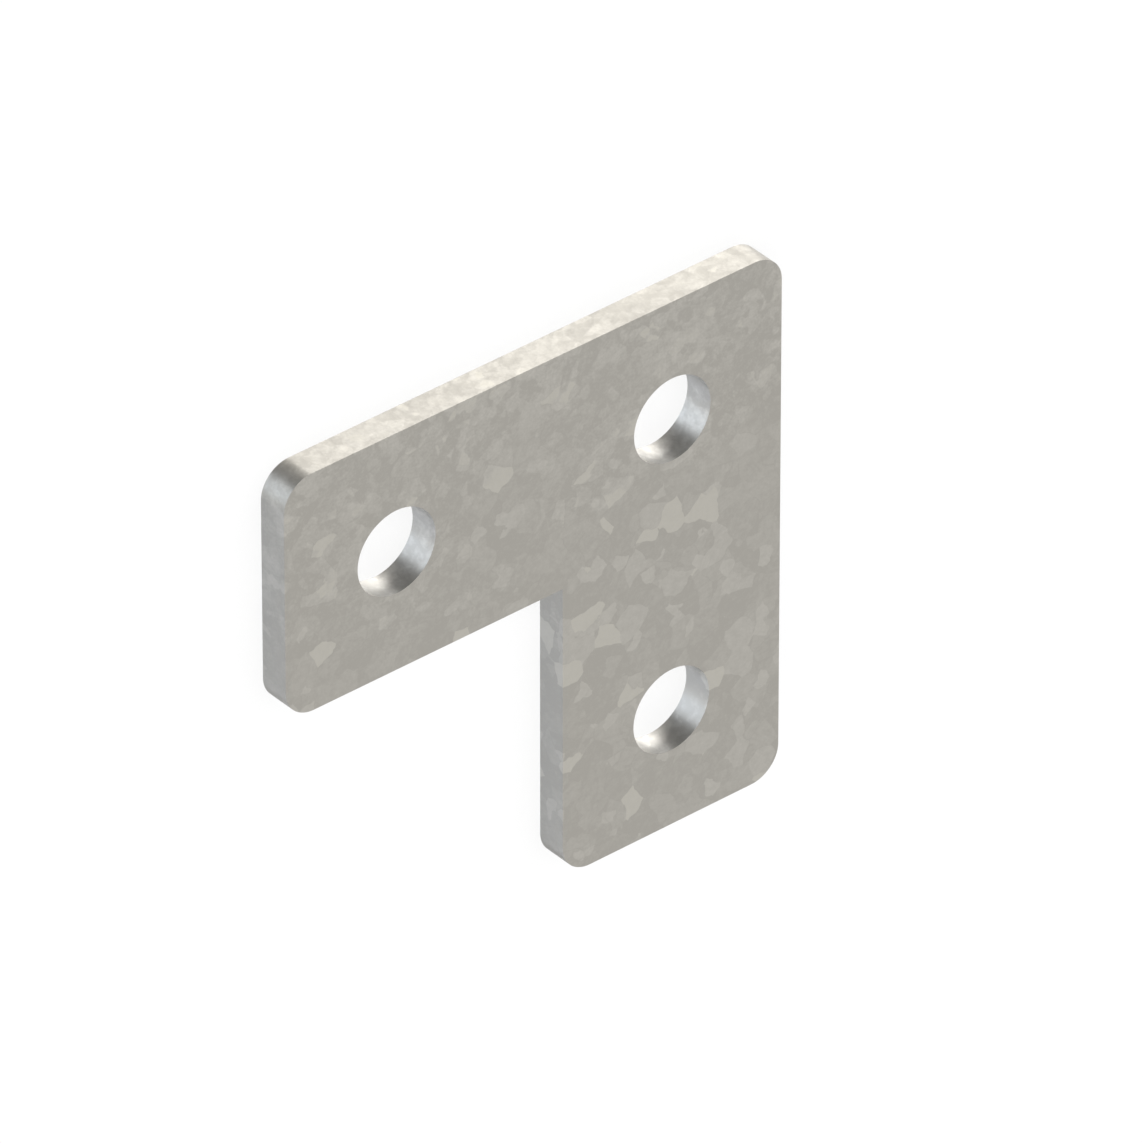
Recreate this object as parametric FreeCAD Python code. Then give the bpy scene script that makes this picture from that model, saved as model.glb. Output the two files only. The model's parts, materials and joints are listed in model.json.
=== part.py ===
import FreeCAD, Part
import os

from FreeCAD import Vector

# Flat L-shaped angle plate that joins two lengths of strut channel at a right
# angle. All sizes are in millimetres. The origin is the centre of the corner
# hole on the back face, +X and +Y run along the two arms, and +Z points out of
# the front face.

# Driving dimensions
arm_width = 40.0          # across each arm, a little under the width of the strut
x_arm_pitch = 50.0        # from the corner hole to the hole in the X arm
y_arm_pitch = 50.0        # from the corner hole to the hole in the Y arm
end_distance = 20.0       # from an arm's hole to the end of that arm
plate_thickness = 5.0
hole_diameter = 14.0      # clearance for a 12 mm bolt
corner_radius = 5.0       # the five outer corners, seen in plan
edge_rounding = 0.2       # sheared edges and punched rims, softened by the zinc

# Sizes and places that follow
half_width = arm_width / 2.0
x_arm_length = half_width + x_arm_pitch + end_distance
y_arm_length = half_width + y_arm_pitch + end_distance
outer_corner = Vector(-half_width, -half_width, 0)
hole_centres = [
    Vector(0, 0, 0),
    Vector(x_arm_pitch, 0, 0),
    Vector(0, y_arm_pitch, 0),
]


def is_upright(direction):
    """True for a tangent or a normal that points through the thickness."""
    return abs(direction.z) > abs(direction.x) + abs(direction.y)


def arm_blank(x_length, y_length):
    """A flat bar from the L's outer corner, its four upright edges rounded."""
    bar = Part.makeBox(x_length, y_length, plate_thickness, outer_corner)
    corners = [edge for edge in bar.Edges if is_upright(edge.tangentAt(edge.FirstParameter))]
    return bar.makeFillet(corner_radius, corners)


def sheared_blank():
    """The L without its holes. The arms' crossing leaves the one inner corner sharp."""
    x_arm = arm_blank(x_arm_length, arm_width)
    y_arm = arm_blank(arm_width, y_arm_length)
    return x_arm.fuse(y_arm).removeSplitter()


def hole_punches():
    """One punch for each bolt hole, a plate's thickness proud of both faces."""
    below = Vector(0, 0, -plate_thickness)
    punch_length = 3.0 * plate_thickness
    return [
        Part.makeCylinder(hole_diameter / 2.0, punch_length, centre + below)
        for centre in hole_centres
    ]


def soften_edges(plate):
    """Rounds the outline and the hole rims on the back face and the front face."""
    flats = [face for face in plate.Faces if is_upright(face.normalAt(0, 0))]
    rims = [edge for face in flats for edge in face.Edges]
    return plate.makeFillet(edge_rounding, rims)


def angle_plate():
    pierced = sheared_blank().cut(hole_punches())
    return soften_edges(pierced).Solids[0]


os.makedirs("parts", exist_ok=True)
plate = angle_plate()
plate.exportStep("parts/angle_plate.step")
print("angle_plate valid", plate.isValid(), "volume", round(plate.Volume, 1), "mm3")
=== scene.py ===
import json
import math

import bpy
from mathutils import Matrix, Vector


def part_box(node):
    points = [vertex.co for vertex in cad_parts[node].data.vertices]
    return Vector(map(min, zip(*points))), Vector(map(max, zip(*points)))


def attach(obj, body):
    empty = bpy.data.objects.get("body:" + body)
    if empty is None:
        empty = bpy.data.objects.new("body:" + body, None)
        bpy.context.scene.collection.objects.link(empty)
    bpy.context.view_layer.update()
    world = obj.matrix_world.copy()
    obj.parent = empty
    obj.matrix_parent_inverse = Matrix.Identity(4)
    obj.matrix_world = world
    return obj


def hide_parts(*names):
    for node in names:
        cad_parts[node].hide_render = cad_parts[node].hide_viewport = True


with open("model.json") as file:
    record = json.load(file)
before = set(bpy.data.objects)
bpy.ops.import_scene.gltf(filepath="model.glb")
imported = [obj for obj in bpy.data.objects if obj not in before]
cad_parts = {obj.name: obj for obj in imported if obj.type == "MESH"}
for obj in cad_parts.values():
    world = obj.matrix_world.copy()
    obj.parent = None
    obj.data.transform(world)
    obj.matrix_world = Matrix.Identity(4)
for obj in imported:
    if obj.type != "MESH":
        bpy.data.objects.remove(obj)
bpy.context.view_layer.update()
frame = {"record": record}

# A flat angle plate for strut channel, galvanised after it was cut and punched.
# It lies on its back face, and the picture's up is the plate's own -Y.


class Wire:
    # One node's output. Sums on it add Math nodes to the tree it sits in.

    def __init__(self, board, socket):
        self.board = board
        self.socket = socket

    def __add__(self, other):
        return self.board.maths("ADD", self, other)

    def __radd__(self, other):
        return self.board.maths("ADD", other, self)

    def __sub__(self, other):
        return self.board.maths("SUBTRACT", self, other)

    def __rsub__(self, other):
        return self.board.maths("SUBTRACT", other, self)

    def __mul__(self, other):
        return self.board.maths("MULTIPLY", self, other)

    def __rmul__(self, other):
        return self.board.maths("MULTIPLY", other, self)

    def __neg__(self):
        return self.board.maths("MULTIPLY", self, -1.0)


class Board:
    # A node tree that is being wired up, for a shader or for geometry.

    def __init__(self, tree):
        self.tree = tree

    def add(self, kind, settings=None, sockets=None, out=0):
        node = self.tree.nodes.new(kind)
        for name, value in (settings or {}).items():
            if name == "items":  # an Index Switch starts with two of them
                for _ in range(value - len(node.index_switch_items)):
                    node.index_switch_items.new()
            else:
                setattr(node, name, value)
        for key, value in (sockets or {}).items():
            self.feed(node.inputs[key], value)
        return Wire(self, node.outputs[out]) if node.outputs else None

    def feed(self, socket, value):
        if isinstance(value, Wire):
            self.tree.links.new(value.socket, socket)
        elif isinstance(value, (list, tuple)) and value and isinstance(value[0], Wire):
            for wire in value:
                self.tree.links.new(wire.socket, socket)
        else:
            socket.default_value = value

    def maths(self, operation, first, second):
        return self.add("ShaderNodeMath", {"operation": operation}, {0: first, 1: second})

    def vector(self, operation, first, second=None, scale=None):
        sockets = {0: first}
        if second is not None:
            sockets[1] = second
        if scale is not None:
            sockets["Scale"] = scale
        out = 1 if operation in ("DOT_PRODUCT", "LENGTH", "DISTANCE") else 0
        return self.add("ShaderNodeVectorMath", {"operation": operation}, sockets, out)

    def blend(self, share, first, second):
        # a straight mix of two numbers
        return self.add("ShaderNodeMix", {"data_type": "FLOAT"}, {0: share, 2: first, 3: second}, 0)

    def tint(self, share, first, second, way="MIX"):
        settings = {"data_type": "RGBA", "blend_type": way}
        return self.add("ShaderNodeMix", settings, {0: share, 6: first, 7: second}, 2)

    def step(self, value, low, high):
        # 0 below low and 1 above high, with a smooth rise between
        settings = {"interpolation_type": "SMOOTHSTEP"}
        sockets = {"Value": value, "From Min": low, "From Max": high}
        return self.add("ShaderNodeMapRange", settings, sockets)


def blankMaterial(name):
    material = bpy.data.materials.new(name)
    material.use_nodes = True
    material.node_tree.nodes.clear()
    return material, Board(material.node_tree)


def placed(name, data):
    thing = bpy.data.objects.new(name, data)
    bpy.context.scene.collection.objects.link(thing)
    return thing


perMetre = 1000.0  # millimetres


# Galvanised zinc

zincSettings = {
    "ground": (0.376, 0.360, 0.327, 1.0),
    "flake": (0.484, 0.466, 0.427, 1.0),
    "bright": (0.478, 0.459, 0.406, 1.0),  # the few lightest crystals, a little yellower
    "bore": (1.27, 1.29, 1.33, 1.0),  # painted light: how many times brighter the holes' walls are painted, by the photo
    "roughness": 0.37,
    "largeCrystals": 0.25,  # in a millimetre
    "smallCrystals": 0.42,
    "smallShift": (31.0, 57.0, 13.0),  # so that the two sizes don't line up
    "smallDrop": 0.24,  # how much darker the small ones are
    # ragged outlines: how many waves in a millimetre, and how far they push
    "largeBends": ((0.25, 2.4), (1.7, 0.25)),
    "smallBends": ((0.40, 1.8), (2.3, 0.2)),
    "bendDetail": 2.0,
    # a crystal's draw, and how much lighter it gets past that
    "lifts": ((0.25, 0.07), (0.45, 0.08), (0.64, 0.11), (0.79, 0.22), (0.92, 0.34)),
    # blurred crystals: how many in a millimetre, and the draws between which they lighten
    "wideClouds": (0.36, 0.42, 0.90),
    "smallClouds": (0.55, 0.56, 0.96),
    "cloudSoftness": 0.4,
    "cloudShare": 0.48,
    "crystalShare": 0.3,  # of the clear crystals that still show among the blurred ones
    "cloudy": -12.0,  # millimetres up the Y arm, to where the crystals are blurred
    "crisp": 24.0,  # and from where on each has a clear outline
    "wander": (0.05, 60.0),  # waves in a millimetre, and millimetres by which that border strays
    "boreMargin": 0.5,  # millimetres past a hole's radius that still count as its wall
    "wallRise": (0.1, 0.4),  # a normal's rise, squared: a wall below, a face above
    "yellowing": (0.55, 0.72),  # the tones between which a crystal turns yellower
    "yellowShare": 0.5,
    "mottleNoise": (0.8, 5.0),  # waves in a millimetre, and detail
    "grainNoise": (2.4, 3.0),
    "mottle": (1.2, 0.8),  # in the blurred part and in the clear one
    "grain": (1.1, 0.5),
    "boreMottle": 1.2,
    "streakScale": (0.4, 3.0, 0.7),  # waves in a millimetre: along, across and up
    "streakDetail": 2.0,
    "streaks": 0.35,
    "seamWidth": 0.035,
    "seamPatches": (0.2, 0.45, 0.62),  # waves in a millimetre, and the span in which they show
    "seams": 0.24,
    "roughMottle": 0.05,
    "roughCrystals": 0.02,
    "facetTilt": 0.012,
    "grainHeight": 0.000006,
    "mottleHeight": 2.0,  # times the grain's
}


def galvanisedZinc(settings, holes):
    material, board = blankMaterial("galvanised zinc")
    position = board.add("ShaderNodeTexCoord", out="Object")
    millimetres = board.vector("SCALE", position, scale=perMetre)
    midColour = (0.5, 0.5, 0.5)

    def noise(place, scale, detail=1.0, out="Fac"):
        sockets = {"Vector": place, "Scale": scale, "Detail": detail}
        return board.add("ShaderNodeTexNoise", {}, sockets, out)

    def sway(place, scale, detail=1.0):
        # noise to both sides of zero
        return noise(place, scale, detail) - 0.5

    def bent(place, bends):
        for scale, reach in bends:
            ripple = noise(place, scale, settings["bendDetail"], "Color")
            push = board.vector("SUBTRACT", ripple, midColour)
            place = board.vector("ADD", place, board.vector("SCALE", push, scale=reach))
        return place

    def crystals(place, scale, feature="F1", out="Color"):
        sockets = {"Vector": place, "Scale": scale}
        if feature == "SMOOTH_F1":
            sockets["Smoothness"] = settings["cloudSoftness"]
        return board.add("ShaderNodeTexVoronoi", {"feature": feature}, sockets, out)

    def draw(colour, channel="Red"):
        return board.add("ShaderNodeSeparateColor", {}, {"Color": colour}, channel)

    def lifted(chance):
        tone = 0.0
        for past, lift in settings["lifts"]:
            tone = board.maths("GREATER_THAN", chance, past) * lift + tone
        return tone

    def clouds(place, scale, start, end):
        return board.step(draw(crystals(place, scale, "SMOOTH_F1")), start, end)

    # two sizes of crystal, with ragged outlines
    place = bent(millimetres, settings["largeBends"])
    aside = bent(board.vector("ADD", millimetres, settings["smallShift"]), settings["smallBends"])
    large = crystals(place, settings["largeCrystals"])
    small = crystals(aside, settings["smallCrystals"])
    upper = lifted(draw(large))
    lower = lifted(draw(small)) - settings["smallDrop"]
    lightest = board.maths("MAXIMUM", upper, lower)
    wide = clouds(aside, *settings["wideClouds"])
    blurred = board.maths("MAXIMUM", wide, clouds(place, *settings["smallClouds"]))

    # blurred in the X arm, clear down the Y arm
    along = board.add("ShaderNodeSeparateXYZ", {}, {"Vector": millimetres}, "Y")
    waves, reach = settings["wander"]
    border = along + sway(millimetres, waves) * reach
    clear = board.step(border, settings["cloudy"], settings["crisp"])
    cloudy = blurred * settings["cloudShare"] + lightest * settings["crystalShare"]
    tone = board.blend(clear, cloudy, lightest)

    # the holes' walls, painted brighter further down as painted light, and mottled more strongly
    normal = board.add("ShaderNodeNewGeometry", out="Normal")
    rise = board.add("ShaderNodeSeparateXYZ", {}, {"Vector": normal}, "Z")
    upright = 1.0 - board.step(rise * rise, *settings["wallRise"])
    inBore = 0.0
    for hole in holes.values():
        axis = [length * perMetre for length in hole["pos_m"]]
        away = board.vector("SUBTRACT", millimetres, axis)
        level = board.vector("MULTIPLY", away, (1.0, 1.0, 0.0))
        wall = hole["dims"]["r_mm"] + settings["boreMargin"]
        inBore = board.maths("LESS_THAN", board.vector("LENGTH", level), wall) + inBore
    bore = inBore * upright

    # what lies on every crystal: mottling, fine grain, growth streaks and thin dark seams
    mottle = sway(millimetres, *settings["mottleNoise"])
    grain = sway(millimetres, *settings["grainNoise"])
    turned = board.add(
        "ShaderNodeVectorRotate",
        {"rotation_type": "Z_AXIS"},
        {"Vector": millimetres, "Angle": draw(large, "Green") * math.tau},
    )
    drawnOut = board.vector("MULTIPLY", turned, settings["streakScale"])
    streaks = sway(drawnOut, 1.0, settings["streakDetail"])
    edge = crystals(place, settings["largeCrystals"], "DISTANCE_TO_EDGE", "Distance")
    waves, start, end = settings["seamPatches"]
    patches = board.step(noise(millimetres, waves), start, end)
    seams = (1.0 - board.step(edge, 0.0, settings["seamWidth"])) * patches
    share = (
        tone
        + mottle * (board.blend(clear, *settings["mottle"]) + bore * settings["boreMottle"])
        + grain * board.blend(clear, *settings["grain"])
        + streaks * settings["streaks"]
        - seams * settings["seams"]
    )
    colour = board.tint(share, settings["ground"], settings["flake"])
    yellow = board.step(tone, *settings["yellowing"]) * settings["yellowShare"]
    colour = board.tint(yellow, colour, settings["bright"])
    # painted light: the holes' walls are painted brighter and a little bluer, standing in for light
    # in the holes
    colour = board.tint(bore, colour, board.tint(1.0, colour, settings["bore"], "MULTIPLY"))

    crystalRoughness = (draw(small, "Blue") - 0.5) * settings["roughCrystals"]
    roughness = mottle * settings["roughMottle"] + crystalRoughness + settings["roughness"]
    lean = board.vector("SUBTRACT", large, midColour)
    tilt = board.vector("SCALE", lean, scale=settings["facetTilt"])
    facing = board.vector("NORMALIZE", board.vector("ADD", normal, tilt))
    height = grain + mottle * settings["mottleHeight"]
    bump = board.add(
        "ShaderNodeBump",
        {},
        {"Distance": settings["grainHeight"], "Height": height, "Normal": facing},
    )
    shader = board.add(
        "ShaderNodeBsdfPrincipled",
        {},
        {"Base Color": colour, "Metallic": 1.0, "Roughness": roughness, "Normal": bump},
    )
    board.add("ShaderNodeOutputMaterial", {}, {"Surface": shader})
    return material


# The plate

plateSettings = {
    "armWidth": 0.040,
    "cornerRadius": 0.005,
    "cornerSteps": 24,
    "holeSteps": 128,
    "mergeWithin": 0.000001,  # welds the walls to the back face
    "sharpAngle": 40.0,  # degrees between faces, past which an edge stays sharp
}


def plateTree(mergeWithin):
    # An L outline with three holes, filled and raised to its thickness.
    tree = bpy.data.node_groups.new("angle plate", "GeometryNodeTree")
    sizes = ("Arm Width", "X Arm Length", "Y Arm Length", "Thickness", "Corner Radius",
             "Hole Radius", "X Arm Pitch", "Y Arm Pitch")
    for name in sizes:
        tree.interface.new_socket(name, in_out="INPUT", socket_type="NodeSocketFloat")
    for name in ("Corner Steps", "Hole Steps"):
        tree.interface.new_socket(name, in_out="INPUT", socket_type="NodeSocketInt")
    tree.interface.new_socket("Finish", in_out="INPUT", socket_type="NodeSocketMaterial")
    tree.interface.new_socket("Geometry", in_out="OUTPUT", socket_type="NodeSocketGeometry")
    board = Board(tree)
    given = board.add("NodeGroupInput").socket.node

    def size(name):
        return Wire(board, given.outputs[name])

    def point(x, y):
        return board.add("ShaderNodeCombineXYZ", {}, {"X": x, "Y": y})

    def places(points):
        index = board.add("GeometryNodeInputIndex")
        sockets = {number + 1: place for number, place in enumerate(points)}
        sockets[0] = index
        settings = {"data_type": "VECTOR", "items": len(points)}
        position = board.add("GeometryNodeIndexSwitch", settings, sockets)
        return board.add("GeometryNodePoints", {}, {"Count": len(points), "Position": position})

    half = size("Arm Width") * 0.5
    xEnd = size("X Arm Length") - half
    yEnd = size("Y Arm Length") - half
    corners = [
        point(-half, -half),
        point(xEnd, -half),
        point(xEnd, half),
        point(half, half),  # the inner corner, left sharp
        point(half, yEnd),
        point(-half, yEnd),
    ]
    innerCorner = 3.0  # its number in that list
    halfStep = 0.5
    outline = board.add("GeometryNodePointsToCurves", {}, {"Points": places(corners)})
    outline = board.add("GeometryNodeSetSplineCyclic", {}, {"Geometry": outline, "Cyclic": True})
    index = board.add("GeometryNodeInputIndex")
    isInner = board.add(
        "ShaderNodeMath", {"operation": "COMPARE"}, {0: index, 1: innerCorner, 2: halfStep}
    )
    radius = size("Corner Radius") * (1.0 - isInner)
    outline = board.add(
        "GeometryNodeFilletCurve",
        {"mode": "POLY"},
        {"Curve": outline, "Count": size("Corner Steps"), "Radius": radius},
    )

    holeCentres = [
        point(0.0, 0.0),
        point(size("X Arm Pitch"), 0.0),
        point(0.0, size("Y Arm Pitch")),
    ]
    rim = board.add(
        "GeometryNodeCurvePrimitiveCircle",
        {},
        {"Resolution": size("Hole Steps"), "Radius": size("Hole Radius")},
    )
    sockets = {"Points": places(holeCentres), "Instance": rim}
    rims = board.add("GeometryNodeInstanceOnPoints", {}, sockets)
    rims = board.add("GeometryNodeRealizeInstances", {}, {"Geometry": rims})
    outlines = board.add("GeometryNodeJoinGeometry", {}, {"Geometry": [rims, outline]})
    backFace = board.add("GeometryNodeFillCurve", {"mode": "NGONS"}, {"Curve": outlines})
    lift = board.add("ShaderNodeCombineXYZ", {}, {"Z": size("Thickness")})
    raised = board.add(
        "GeometryNodeExtrudeMesh",
        {"mode": "FACES"},
        {"Mesh": backFace, "Offset": lift, "Offset Scale": 1.0, "Individual": False},
    )
    backFace = board.add("GeometryNodeFlipFaces", {}, {"Mesh": backFace})
    plate = board.add("GeometryNodeJoinGeometry", {}, {"Geometry": [backFace, raised]})
    sockets = {"Geometry": plate, "Distance": mergeWithin}
    plate = board.add("GeometryNodeMergeByDistance", {}, sockets)
    plate = board.add("GeometryNodeSetShadeSmooth", {}, {"Geometry": plate, "Shade Smooth": True})
    plate = board.add("GeometryNodeRealizeInstances", {}, {"Geometry": plate})
    sockets = {"Geometry": plate, "Material": size("Finish")}
    plate = board.add("GeometryNodeSetMaterial", {}, sockets)
    board.add("NodeGroupOutput", {}, {"Geometry": plate})
    return tree


def anglePlate(settings, holes, finish):
    low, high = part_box("angle_plate")
    draft = placed("plate draft", bpy.data.meshes.new("plate draft"))
    tree = plateTree(settings["mergeWithin"])
    shaping = draft.modifiers.new("angle plate", "NODES")
    shaping.node_group = tree
    values = {
        "Arm Width": settings["armWidth"],
        "X Arm Length": high.x - low.x,
        "Y Arm Length": high.y - low.y,
        "Thickness": high.z - low.z,
        "Corner Radius": settings["cornerRadius"],
        "Hole Radius": holes["corner_hole"]["dims"]["r_mm"] / perMetre,
        "X Arm Pitch": holes["x_arm_hole"]["pos_m"][0],
        "Y Arm Pitch": holes["y_arm_hole"]["pos_m"][1],
        "Corner Steps": settings["cornerSteps"],
        "Hole Steps": settings["holeSteps"],
        "Finish": finish,
    }
    for item in tree.interface.items_tree:
        if item.in_out == "INPUT":
            shaping[item.identifier] = values[item.name]
    shown = draft.evaluated_get(bpy.context.evaluated_depsgraph_get())
    mesh = bpy.data.meshes.new_from_object(shown)
    mesh.name = "strut_angle_plate"
    mesh.set_sharp_from_angle(angle=math.radians(settings["sharpAngle"]))
    bpy.data.objects.remove(draft)
    plate = placed("strut_angle_plate", mesh)
    flats = plate.modifiers.new("flats kept flat", "WEIGHTED_NORMAL")
    flats.keep_sharp = True
    return plate


mounts = frame["record"]["mounts"]
holes = {mount["name"]: mount for mount in mounts if mount["kind"] == "bore"}
zinc = galvanisedZinc(zincSettings, holes)
plate = anglePlate(plateSettings, holes, zinc)
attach(plate, "root")
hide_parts("angle_plate")
print("plate made,", len(plate.data.polygons), "faces")


# Floor: a pale sheet of a light table, on which the plate keeps a soft shadow

floorSettings = {
    "span": 12.0,
    "drop": 0.00005,  # just under the plate's back face
    "paint": (0.90, 0.90, 0.90, 1.0),
    "glow": (0.23, 0.23, 0.23, 1.0),  # lifts it to white where it is seen, by the solid share
    "solid": 0.25,  # the share of the light that the sheet stops
}


def seenDirectly(board):
    # 1 for what the camera sees, straight, mirrored in metal or through glass
    path = board.add("ShaderNodeLightPath").socket.node
    camera, glossy, through = (
        Wire(board, path.outputs[name])
        for name in ("Is Camera Ray", "Is Glossy Ray", "Is Transmission Ray")
    )
    return board.maths("MAXIMUM", board.maths("MAXIMUM", camera, glossy), through)


def sheet(name, corners, material):
    mesh = bpy.data.meshes.new(name)
    mesh.from_pydata(corners, [], [(0, 1, 2, 3)])
    mesh.materials.append(material)
    thing = placed(name, mesh)
    return thing


def paleFloor(settings):
    span = settings["span"] / 2.0
    level = -settings["drop"]
    material, board = blankMaterial("pale floor")
    glow = board.tint(seenDirectly(board), (0.0, 0.0, 0.0, 1.0), settings["glow"])
    shader = board.add(
        "ShaderNodeBsdfPrincipled",
        {},
        {"Base Color": settings["paint"], "Roughness": 1.0, "Specular IOR Level": 0.0,
         "Emission Color": glow, "Emission Strength": 1.0, "Alpha": settings["solid"]},
    )
    board.add("ShaderNodeOutputMaterial", {}, {"Surface": shader})
    plan = ((-span, -span), (span, -span), (span, span), (-span, span))
    sheet("floor", [(x, y, level) for x, y in plan], material)


paleFloor(floorSettings)
print("floor laid")


# Light: an even white room, and lamps that shine up through the floor onto the plate's edges

world = bpy.data.worlds.new("white studio")
bpy.context.scene.world = world
world.use_nodes = True
world.node_tree.nodes.clear()
worldBoard = Board(world.node_tree)
sky = worldBoard.add("ShaderNodeBackground", {}, {"Color": (1.0, 1.0, 1.0, 1.0), "Strength": 1.0})
worldBoard.add("ShaderNodeOutputWorld", {}, {"Surface": sky})

lampSettings = {
    "centre": (0.025, 0.025, 0.0025),
    "distance": 4.0,
    "lamps": [
        # name, azimuth, elevation, degrees wide and tall, radiance, colour
        ("key lamp", 230.0, -10.5, 27.0, 12.0, 98.0, (1.0, 0.985, 0.965)),
        ("cool lamp", 340.0, -13.0, 51.0, 44.0, 2.28, (0.61, 0.77, 1.0)),
    ],
    # name, azimuth, elevation, degrees wide and tall, paint
    "cards": [
        ("black_card", 271.0, -20.0, 64.0, 110.0, (0.02, 0.02, 0.02, 1.0)),
        ("grey_card", 112.0, -38.0, 44.0, 50.0, (0.26, 0.26, 0.26, 1.0)),
        ("light_grey_card", 56.0, -38.0, 52.0, 50.0, (0.51, 0.535, 0.585, 1.0)),
    ],
    # a white slip just under the floor keeps the key lamp off the Y arm's outer edge
    "slip": {
        "outline": ((-0.019, -0.0195), (-0.019, 0.075), (-0.110, 0.075), (-0.084, -0.067)),
        "level": -0.0002,
        "paint": (0.9, 0.9, 0.9, 1.0),
    },
}


def direction(azimuth, elevation):
    turn = math.radians(azimuth)
    rise = math.radians(elevation)
    level = math.cos(rise)
    return Vector((level * math.cos(turn), level * math.sin(turn), math.sin(rise)))


def spanAt(distance, degrees):
    return 2.0 * distance * math.tan(math.radians(degrees) / 2.0)


def edgeLamps(settings):
    centre = Vector(settings["centre"])
    distance = settings["distance"]
    for name, azimuth, elevation, wide, tall, radiance, colour in settings["lamps"]:
        light = bpy.data.lights.new(name, "AREA")
        light.shape = "RECTANGLE"
        light.size = spanAt(distance, wide)
        light.size_y = spanAt(distance, tall)
        light.energy = radiance * light.size * light.size_y * math.pi  # in watts
        light.color = colour
        outward = direction(azimuth, elevation)
        lamp = placed(name, light)
        lamp.location = centre + outward * distance
        lamp.rotation_mode = "QUATERNION"
        lamp.rotation_quaternion = outward.to_track_quat("Z", "Y")
        lamp.visible_camera = False


def card(name, corners, paint):
    material, board = blankMaterial(name)
    shader = board.add("ShaderNodeBsdfPrincipled", {}, {"Base Color": paint, "Roughness": 1.0})
    board.add("ShaderNodeOutputMaterial", {}, {"Surface": shader})
    sheet(name, corners, material).visible_camera = False


def edgeCards(settings):
    centre = Vector(settings["centre"])
    distance = settings["distance"]
    for name, azimuth, elevation, wide, tall, paint in settings["cards"]:
        outward = direction(azimuth, elevation)
        across = outward.cross(Vector((0.0, 0.0, 1.0))).normalized()
        up = across.cross(outward) * spanAt(distance, tall) / 2.0
        across = across * spanAt(distance, wide) / 2.0
        middle = centre + outward * distance
        corners = [
            middle - across - up,
            middle + across - up,
            middle + across + up,
            middle - across + up,
        ]
        card(name, corners, paint)
    slip = settings["slip"]
    card("white_slip", [(x, y, slip["level"]) for x, y in slip["outline"]], slip["paint"])


edgeLamps(lampSettings)
edgeCards(lampSettings)
print("lamps hung")


# Camera: where the photograph was taken from

cameraSettings = {
    "heading": 39.957,  # degrees round the plate as it stands in the picture
    "tilt": 35.279,  # degrees down onto it
    "lens": 600.0,
    "sensor": 36.0,
    "distance": 2.6658,
    "aim": (0.025, 0.025, 0.005),
    "slide": (0.00505, 0.00841),  # the picture's centre, right of and above the aim
    "farthest": 100.0,
}


def photoCamera(settings):
    heading = math.radians(settings["heading"])
    tilt = math.radians(settings["tilt"])
    level = math.cos(tilt)
    toward = Vector((math.sin(heading) * level, -math.sin(tilt), math.cos(heading) * level))
    right = (-toward).cross(Vector((0.0, -1.0, 0.0))).normalized()
    up = right.cross(-toward)
    data = bpy.data.cameras.new("photo camera")
    data.lens = settings["lens"]
    data.sensor_width = settings["sensor"]
    data.clip_end = settings["farthest"]
    camera = placed("photo camera", data)
    camera.rotation_mode = "QUATERNION"
    camera.rotation_quaternion = Matrix((right, up, toward)).transposed().to_quaternion()
    slideRight, slideUp = settings["slide"]
    middle = Vector(settings["aim"]) + right * slideRight + up * slideUp
    camera.location = middle + toward * settings["distance"]
    bpy.context.scene.camera = camera


photoCamera(cameraSettings)
bpy.context.scene.view_settings.view_transform = "Standard"
print("camera set")
